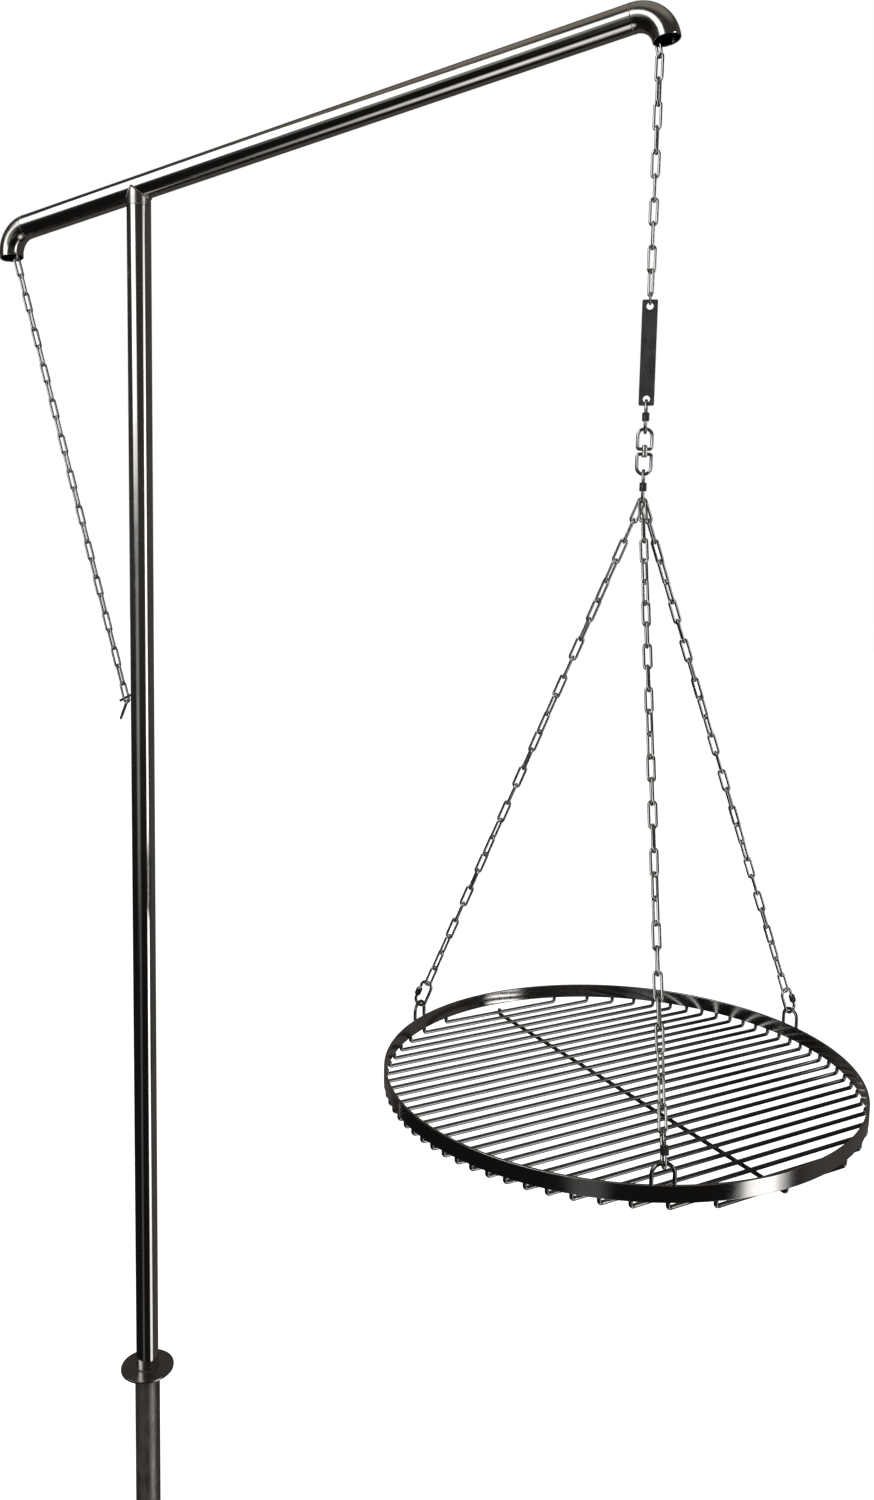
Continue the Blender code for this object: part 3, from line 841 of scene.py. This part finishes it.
def small_ring():
    radius = RING_INNER / 2 + RING_WIRE_R
    centre = RING_TOP - AXIS_Z * (RING_INNER / 2)
    path = circle(centre, FACE, AXIS_Z, radius, sides=48)
    shape = Shape()
    shape.skin(sweep_rings(path, WIDE, RING_WIRE_R, sides=12, closed=True), closed=True)
    make("small_ring", shape, LINK_STEEL, "plate", "chain_steel", "plate_ring")


def plate():
    """A flat bar with rounded corners and broken edges: a half round each of its two holes."""
    high = PLATE_BOX_HIGH.z
    low = PLATE_BOX_LOW.z
    to_hole = PLATE_HOLE_MARGIN + PLATE_HOLE_R
    middle = (high + low) / 2
    shape = Shape()
    for hole_z, end_z in ((high - to_hole, high), (low + to_hole, low)):
        half_plate(shape, hole_z, end_z, middle)
    make("blank_plate", shape, PLATE_STEEL, "plate", "plate_steel", "spacer_plate", sharp=25)


def half_plate(shape, hole_z, end_z, middle):
    """Adds the half of the plate from one end to the middle, as rings that run round its hole."""
    edge = 0.0003
    depth = PLATE_THICK / 2
    hole_sides = 48
    near = 1e-6

    def at(u, z, out):
        return Vector((HANG_X, 0, z)) + WIDE * u + FACE * out

    def hole_point(angle, radius, out):
        return at(radius * math.cos(angle), hole_z + radius * math.sin(angle), out)

    def edge_point(angle, inset, out):
        return at(*plate_outline(hole_z, end_z, middle, angle, inset), out)

    angles = [2 * math.pi * i / hole_sides - math.pi for i in range(hole_sides)]
    for z in (end_z, middle):
        angles += [math.atan2(z - hole_z, u) for u in (PLATE_WIDTH / 2, -PLATE_WIDTH / 2)]
    angles = sorted(round(a, 6) for a in angles)
    front = (
        (hole_point, PLATE_HOLE_R, depth - edge),
        (hole_point, PLATE_HOLE_R + edge, depth),
        (edge_point, edge, depth),
        (edge_point, 0.0, depth - edge),
    )
    back = tuple((point, size, -out) for point, size, out in reversed(front))
    rows = [shape.ring([point(a, size, out) for a in angles]) for point, size, out in front + back]
    outline = rows[3]
    open_to_other_half = [abs(shape.verts[v][2] - middle) < near for v in outline]
    for r, row in enumerate(rows):
        beyond = rows[(r + 1) % len(rows)]
        outer_strip = 2 <= r <= 4
        for j in range(len(angles)):
            k = (j + 1) % len(angles)
            if outer_strip and open_to_other_half[j] and open_to_other_half[k]:
                continue
            shape.faces.append((row[j], row[k], beyond[k], beyond[j]))


def plate_outline(hole_z, end_z, middle, angle, inset):
    """Where a ray from a hole's centre meets the outline of the hole's half, moved inwards by the inset."""
    nearly_zero = 1e-9
    half_width = PLATE_WIDTH / 2
    du, dz = math.cos(angle), math.sin(angle)
    outward = math.copysign(1, end_z - middle)
    reach = []
    if abs(du) > nearly_zero:
        reach.append(half_width / abs(du))
    if abs(dz) > nearly_zero:
        reach.append(((end_z if dz * outward > 0 else middle) - hole_z) / dz)
    t = min(reach)
    corner = PLATE_CORNER
    beyond = Vector((abs(du * t) - half_width + corner, (hole_z + dz * t - end_z) * outward + corner))
    if beyond.x > 0 and beyond.y > 0:
        beyond = beyond.normalized() * (corner - inset)
    beyond.x = min(beyond.x, corner - inset)
    beyond.y = min(beyond.y, corner - inset)
    return math.copysign(half_width - corner + beyond.x, du), end_z + outward * (beyond.y - corner)


def quick_link(name, low, up, across, body, node, nut_body=None, nut_node=None):
    """A long wire link with a threaded mouth and a hexagonal nut over it.

    low is the lowest point of its opening. Its mouth is on the side that across points to.
    """
    wire = QUICK_WIRE_R
    centre = low + up * (QUICK_INNER / 2)
    radius = QUICK_INNER_WIDTH / 2 + wire
    straight = QUICK_INNER / 2 + wire - radius
    leg_middle = centre + across * radius
    mouth = leg_middle - up * QUICK_MOUTH_DROP
    half_gap = QUICK_MOUTH / 2
    path = []
    radii = []
    thread = (0.90, 0.96, 1.0, 0.96)  # the wire's thickness at each quarter of the pitch
    quarter = THREAD_PITCH / 4
    thread_end = 0.003  # from the bend to the thread's last turn
    for i in range(round((straight + QUICK_MOUTH_DROP - half_gap - thread_end) / quarter)):
        path.append(mouth + up * (half_gap + i * quarter))
        radii.append(wire * thread[i % 4])
    bend_steps = 24
    for end in (1, -1):
        middle = centre + up * (end * straight)
        for i in range(bend_steps + 1):
            a = math.pi * i / bend_steps
            path.append(middle + radius * end * (math.cos(a) * across + math.sin(a) * up))
            radii.append(wire)
    path.append(mouth - up * half_gap)
    radii.append(wire)
    shape = Shape()
    shape.skin(sweep_rings(path, up.cross(across), radii, WIRE_SIDES), caps=True)
    make(name, shape, LINK_STEEL, body, "link_steel", node, sharp=50)

    nut = hex_nut(leg_middle - up * (NUT_DROP + NUT_LENGTH / 2), up, across)
    nodes = (nut_node,) if nut_node else ()
    make(name + "_nut", nut, LINK_STEEL, nut_body or body, "link_steel", *nodes, sharp=20)


def hex_nut(low, up, across):
    """A long hexagonal nut with turned-down ends: rings at (height, greatest radius)."""
    sides = 72
    side = up.cross(across)
    end_r = NUT_FLATS_R * 1.02
    chamfer = 0.0008
    end_edge = 0.0002
    clearance = 0.0003
    half = (
        (0.0, QUICK_WIRE_R + clearance),
        (0.0, end_r - end_edge),
        (end_edge / 2, end_r),
        (chamfer, math.inf),
    )
    levels = half + tuple((NUT_LENGTH - height, limit) for height, limit in reversed(half))
    rings = []
    for height, limit in levels:
        ring = []
        for i in range(sides):
            a = 2 * math.pi * i / sides
            from_flat = math.radians((360 * i / sides + 30) % 60 - 30)
            r = min(NUT_FLATS_R / math.cos(from_flat), limit)
            ring.append(low + up * height + r * (math.cos(a) * across + math.sin(a) * side))
        rings.append(ring)
    shape = Shape()
    shape.skin(rings, closed=True)
    return shape


def eye_shape(seat, sign, bar_z):
    """A D-shaped eye: round where it bears, flat and a little thicker at the boss."""
    half = EYE_WIDTH / 2 - EYE_WIRE_R
    shoulder = seat.z + sign * EYE_WIRE_R - sign * half
    bow_steps = 24
    corner_steps = 6
    thicker = 0.06
    path = []
    radii = []
    for i in range(bow_steps + 1):
        a = math.pi * i / bow_steps
        path.append(Vector((HANG_X, 0, shoulder + sign * half * math.sin(a))) + WIDE * half * math.cos(a))
        radii.append(EYE_WIRE_R)
    to_bar = [step / corner_steps for step in range(corner_steps + 1)]
    for side, parts_of_turn in ((-1, to_bar), (1, reversed(to_bar))):
        for part in parts_of_turn:
            a = math.pi / 2 * part
            u = side * (half - EYE_CORNER + EYE_CORNER * math.cos(a))
            z = bar_z + sign * EYE_CORNER * (1 - math.sin(a))
            path.append(Vector((HANG_X, 0, z)) + WIDE * u)
            radii.append(EYE_WIRE_R * (1 + thicker * part))
    shape = Shape()
    shape.skin(sweep_rings(path, FACE, radii, WIRE_SIDES, closed=True), closed=True)
    return shape


def swivel():
    """Two eyes. The lower one carries the headed pin that the upper one turns on."""
    middle = (SWIVEL_TOP.z + SWIVEL_LOW.z) / 2
    axis = Vector((HANG_X, 0, 0))
    sides = 48
    low = middle + BOSS_GAP / 2
    high = low + BOSS_THICK
    bore = PIN_R + PIN_CLEARANCE
    shape = eye_shape(SWIVEL_TOP + AXIS_Z * HAIR, 1, (low + high) / 2)
    boss = rounded([(bore, low), (BOSS_R, low), (BOSS_R, high), (bore, high)], BOSS_EDGE, steps=4)
    shape.skin(lathe(boss, axis, sides), closed=True)
    make("swivel_eye_high", shape, LINK_STEEL, "swivel_top", "link_steel", "swivel_upper_eye")

    top = middle - BOSS_GAP / 2
    base = top - BOSS_THICK
    head = high + PIN_CLEARANCE
    head_edge = 0.0003
    tip_r = 0.0004
    shape = eye_shape(SWIVEL_LOW, -1, (top + base) / 2)
    riveted_foot = [
        (tip_r, base - 0.0019),
        (PIN_HEAD_R * 0.7, base - 0.0017),
        (PIN_HEAD_R, base - 0.0006),
        (PIN_HEAD_R, base),
    ]
    boss = [
        (BOSS_R - BOSS_EDGE, base),
        (BOSS_R, base + BOSS_EDGE),
        (BOSS_R, top - BOSS_EDGE),
        (BOSS_R - BOSS_EDGE, top),
    ]
    pin = [
        (PIN_R, top),
        (PIN_R, head),
        (PIN_HEAD_R - head_edge, head),
        (PIN_HEAD_R, head + head_edge),
        (PIN_HEAD_R, head + PIN_HEAD * 0.45),
        (PIN_HEAD_R * 0.85, head + PIN_HEAD * 0.75),
        (PIN_HEAD_R * 0.5, head + PIN_HEAD * 0.95),
        (tip_r, head + PIN_HEAD),
    ]
    shape.skin(lathe(riveted_foot + boss + pin, axis, sides), caps=True)
    make("swivel_eye_low", shape, LINK_STEEL, "swivel_low", "link_steel", "swivel_lower_eye")


# ---- grate ----


def bow(name, outward):
    """The U-shaped wire on the rim that a leg is hung from."""
    steps = 24
    tangent = AXIS_Z.cross(outward)
    base = RIM_CENTRE + outward * BAND_R
    half = BOW_WIDTH / 2 - BOW_WIRE_R
    shoulder = BOW_HIGH_Z - BOW_WIRE_R - half
    foot = RIM_HIGH.z + HAIR
    path = [base + tangent * half + AXIS_Z * foot]
    for i in range(steps + 1):
        a = math.pi * i / steps
        path.append(base + tangent * half * math.cos(a) + AXIS_Z * (shoulder + half * math.sin(a)))
    path.append(base - tangent * half + AXIS_Z * foot)
    shape = Shape()
    shape.skin(sweep_rings(path, outward, BOW_WIRE_R, WIRE_SIDES), caps=True)
    make("bow_wire_" + name, shape, ROD_STEEL, "grate", "grate_steel", "rim_bow_" + name)


def leg(index, name):
    """A bow, the quick link round its top, and the chain from there up to the lower quick link."""
    outward = level(LEG_TURN + index * 2 * math.pi / 3)
    bow(name, outward)

    top = APEX + FACE * LEG_SEATS[index]
    bow_wire = RIM_CENTRE + outward * BAND_R + AXIS_Z * (BOW_HIGH_Z - BOW_WIRE_R)
    up = (top - bow_wire).normalized()
    low = bow_wire - up * BOW_WIRE_R
    side = (outward - up * outward.dot(up)).normalized()
    quick_link("rim_quick_link_" + name, low, up, side, "grate", "rim_link_" + name)
    shape = Shape()
    chain_run(shape, top, low + up * QUICK_INNER, LEG_LINKS, side, LEG_FIRST[index], LEG_TWIST)
    make("leg_links_" + name, shape, CHAIN_STEEL, "grate", "chain_steel", "leg_chain_" + name)


def bent_rod(middle, along, half, low_z, high_z):
    """A straight rod whose two ends turn up on a small bend."""
    steps = 6
    bend = ROD_R * 1.4
    hold = 0.0012  # from a bend to the ring that keeps the straight part's shading straight
    points = []
    for sign in (1, -1):
        corner = middle + along * (sign * half)
        ends = [corner + AXIS_Z * high_z]
        for i in range(steps + 1):
            a = math.pi / 2 * i / steps
            inward = bend * (1 - math.cos(a))
            lift = bend * (1 - math.sin(a))
            ends.append(corner - along * (sign * inward) + AXIS_Z * (low_z + lift))
        ends.append(corner - along * (sign * (bend + hold)) + AXIS_Z * low_z)
        points += ends if sign > 0 else reversed(ends)
    shape = Shape()
    shape.skin(sweep_rings(points, AXIS_Z.cross(along), ROD_R, WIRE_SIDES), caps=True)
    return shape


def rods():
    """The parallel rods below the band, and the bar across them."""
    short = 0.0013  # from a rod's ends to the middle of the band
    past_rods = 0.0006  # from the outermost rods to the bar's ends
    along = level(ROD_TURN)
    across = AXIS_Z.cross(along)
    rod_z = ROD_LOW_Z + ROD_R
    top = RIM_LOW.z - HAIR
    for i in range(ROD_COUNT):
        offset = (i - (ROD_COUNT - 1) / 2) * ROD_PITCH
        half = math.sqrt(BAND_R**2 - offset**2) - short
        shape = bent_rod(RIM_CENTRE + across * offset, along, half, rod_z, top)
        name = f"grate_rod_{i + 1:02d}"
        make("round_" + name, shape, ROD_STEEL, "grate", "grate_steel", name)
    half = (ROD_COUNT - 1) / 2 * ROD_PITCH + 2 * ROD_R + past_rods
    shape = bent_rod(RIM_CENTRE, across, half, BAR_LOW_Z + ROD_R, rod_z + ROD_R)
    make("cross_bar_round", shape, ROD_STEEL, "grate", "grate_steel", "cross_bar")


def rim():
    inner = RIM_R - RIM_THICK
    edge = 0.0007
    corners = [(RIM_R, RIM_HIGH.z), (inner, RIM_HIGH.z), (inner, RIM_LOW.z), (RIM_R, RIM_LOW.z)]
    shape = Shape()
    shape.skin(lathe(rounded(corners, edge, steps=4), RIM_CENTRE, sides=288), closed=True)
    make("rim_band", shape, RIM_STEEL, "grate", "grate_steel", "grate_rim")


# ---- studio ----


def studio_light(nodes):
    """The colour that mirrors see: a dark room with soft boxes of different size and strength."""
    direction = nodes.new("ShaderNodeSeparateXYZ")
    nodes.link(nodes.new("ShaderNodeTexCoord").outputs["Generated"], direction.inputs[0])
    x, y, z = direction.outputs
    turn = nodes.math("MULTIPLY", nodes.math("ARCTAN2", y, x), 180 / math.pi)
    height = nodes.math("MULTIPLY", nodes.math("ARCSINE", z), 180 / math.pi)

    def product(first, *others):
        for other in others:
            first = nodes.math("MULTIPLY", first, other)
        return first

    def rise(value, start, end):
        return nodes.remap(value, start, end)

    def fall(value, start, end):
        return nodes.remap(value, start, end, 1.0, 0.0)

    def big_box():
        """A tall box with leaning sides on a wall in the direction of -Y."""
        nearest = 0.02
        side_lean = 0.8
        ahead = nodes.math("MULTIPLY", y, -1.0)
        depth = nodes.math("MAXIMUM", ahead, nearest)
        wall_x = nodes.math("DIVIDE", x, depth)
        wall_z = nodes.math("DIVIDE", z, depth)
        lean_x = nodes.math("ADD", wall_x, nodes.math("MULTIPLY", wall_z, side_lean))
        return product(
            rise(ahead, nearest, 0.08),
            rise(lean_x, -0.76, -0.54),
            fall(lean_x, 0.08, 0.28),
            rise(wall_z, -0.02, 0.2),
            fall(wall_z, 2.6, 3.6),
        )

    def floor_spot():
        """A round bright place on the floor in front of the object."""
        nearest = 0.02
        forward = 0.24
        depth = nodes.math("MAXIMUM", nodes.math("MULTIPLY", z, -1.0), nearest)
        spot_x = nodes.math("DIVIDE", x, depth)
        spot_y = nodes.math("ADD", nodes.math("DIVIDE", y, depth), forward)
        squares = nodes.math("ADD", nodes.math("POWER", spot_x, 2.0), nodes.math("POWER", spot_y, 2.0))
        return product(rise(z, -0.3, -0.4), fall(nodes.math("SQRT", squares), 0.05, 0.42))

    def patch(turns, heights, soft, soft_height):
        """A box between two turns and two heights in degrees, with soft sides."""
        left, right = turns
        low, high = heights
        return product(
            rise(turn, left - soft, left + soft),
            fall(turn, right - soft, right + soft),
            rise(height, low - soft_height, low + soft_height),
            fall(height, high - soft_height, high + soft_height),
        )

    room = nodes.remap(height, -16, 2, to_low=0.22)
    low_left = patch((-114, -84), (-14, 8), soft=6, soft_height=6)
    foot_left = patch((-97, -80), (-40, -10), soft=4, soft_height=6)
    strip = patch((-18, 0), (-31, 14), soft=3, soft_height=9)
    strip_foot = patch((-19, 5), (-60, -26), soft=4, soft_height=4)
    far_wall = patch((12, 150), (-60, 48), soft=10, soft_height=8)
    ceiling = rise(height, 40, 68)
    boxes = (
        (big_box(), (2.4, 2.4, 2.37)),
        (low_left, (0.28, 0.28, 0.27)),
        (foot_left, (0.10, 0.10, 0.098)),
        (strip, (2.6, 2.58, 2.54)),
        (strip_foot, (1.4, 1.39, 1.37)),
        (far_wall, (0.075, 0.068, 0.063)),
        (ceiling, (0.27, 0.245, 0.215)),
        (floor_spot(), (1.3, 1.28, 1.25)),
    )
    black = (0, 0, 0)
    light = nodes.blend_colour(room, black, (0.042, 0.039, 0.037))
    for mask, colour in boxes:
        light = nodes.lighten(light, nodes.blend_colour(mask, black, colour))
    return light


def world_light():
    """The studio for mirrors and shading; the camera itself sees a plain white background."""
    world = bpy.data.worlds.new("studio")
    bpy.context.scene.world = world
    world.use_nodes = True
    world.node_tree.nodes.clear()
    nodes = Nodes(world.node_tree)
    studio = nodes.new("ShaderNodeBackground")
    nodes.link(studio_light(nodes), studio.inputs["Color"])
    pale = nodes.new("ShaderNodeBackground")
    pale.inputs["Color"].default_value = (1, 1, 1, 1)
    pale.inputs["Strength"].default_value = 1.0
    choose = nodes.new("ShaderNodeMixShader")
    nodes.link(nodes.new("ShaderNodeLightPath").outputs["Is Camera Ray"], choose.inputs[0])
    nodes.link(studio.outputs[0], choose.inputs[1])
    nodes.link(pale.outputs[0], choose.inputs[2])
    output = nodes.new("ShaderNodeOutputWorld")
    nodes.link(choose.outputs[0], output.inputs["Surface"])


def floor():
    """A white plane below the sleeve's foot that mirrors don't show."""
    size = 30.0
    below_foot = 0.0005
    z = SLEEVE_LOW.z - below_foot
    corners = [(-size, -size, z), (size, -size, z), (size, size, z), (-size, size, z)]
    data = bpy.data.meshes.new("floor")
    data.from_pydata(corners, [], [(0, 1, 2, 3)])
    plane = bpy.data.objects.new("floor", data)
    bpy.context.collection.objects.link(plane)
    material = bpy.data.materials.new("floor_white")
    material.use_nodes = True
    shader = material.node_tree.nodes["Principled BSDF"]
    shader.inputs["Base Color"].default_value = (0.9, 0.9, 0.9, 1)
    shader.inputs["Roughness"].default_value = 0.9
    shader.inputs["Emission Color"].default_value = (1, 1, 1, 1)
    shader.inputs["Emission Strength"].default_value = 0.93
    data.materials.append(material)
    plane.visible_glossy = False


def key_light():
    """A soft lamp from the upper right that mirrors don't show."""
    place = Vector((2.5, -2.5, 4.5))
    target = Vector((0.4, 0, 0.8))
    data = bpy.data.lights.new("key_light", "AREA")
    data.shape = "RECTANGLE"
    data.size = 2.5
    data.size_y = 2.5
    data.energy = 120
    lamp = bpy.data.objects.new("key_light", data)
    bpy.context.collection.objects.link(lamp)
    lamp.location = place
    lamp.rotation_mode = "QUATERNION"
    lamp.rotation_quaternion = (target - place).to_track_quat("-Z", "Y")
    lamp.visible_glossy = False
    lamp.visible_camera = False


def camera():
    """The photograph's camera. Its angles are in radians, its lens and sensor in millimetres."""
    place = (1.2964, -1.7131, 1.4888)
    yaw = -0.39616
    pitch = -0.11300
    roll = 0.02153
    data = bpy.data.cameras.new("camera")
    data.sensor_width = 36.0
    data.lens = 28.728
    data.shift_x = -0.0075
    data.shift_y = -0.0288
    item = bpy.data.objects.new("camera", data)
    bpy.context.collection.objects.link(item)
    look = Vector((math.sin(yaw) * math.cos(pitch), math.cos(yaw) * math.cos(pitch), math.sin(pitch)))
    flat_right = look.cross(AXIS_Z).normalized()
    flat_top = flat_right.cross(look)
    right = math.cos(roll) * flat_right + math.sin(roll) * flat_top
    top = -math.sin(roll) * flat_right + math.cos(roll) * flat_top
    turned = Matrix((right, top, -look)).transposed().to_4x4()
    item.matrix_world = Matrix.Translation(place) @ turned
    bpy.context.scene.camera = item


# ---- the whole ----

sleeve()
flange()
flange_weld()

upright_tube("pole_tube", POLE_LOW.z, POLE_HIGH.z, TUBE_R, "pole")
upright_tube("spigot_tube", SPIGOT_LOW.z, SPIGOT_HIGH.z, SPIGOT_HIGH.x, "stub_spigot")
arm_stub()
saddle_weld()
arm()
elbow("front_elbow_bend", FRONT_SEAM, 1, "front_elbow")
elbow("rear_elbow_bend", REAR_SEAM, -1, "rear_elbow")
seam_bead("front_seam_weld", FRONT_SEAM)
seam_bead("rear_seam_weld", REAR_SEAM)
mast_chains(*hook_pin())

main_chain()
small_ring()
plate()
quick_link(
    "upper_quick_link_wire",
    SWIVEL_TOP,
    AXIS_Z,
    FACE,
    "upper_link",
    "upper_quick_link",
    nut_body="upper_nut",
    nut_node="upper_link_nut",
)
swivel()
quick_link(
    "lower_quick_link_wire",
    APEX,
    AXIS_Z,
    FACE,
    "lower_link",
    "lower_quick_link",
    nut_body="lower_nut",
    nut_node="lower_link_nut",
)

for leg_index, leg_name in enumerate(LEG_NAMES):
    leg(leg_index, leg_name)
rim()
rods()

world_light()
floor()
camera()
key_light()
bpy.context.scene.view_settings.view_transform = "Standard"
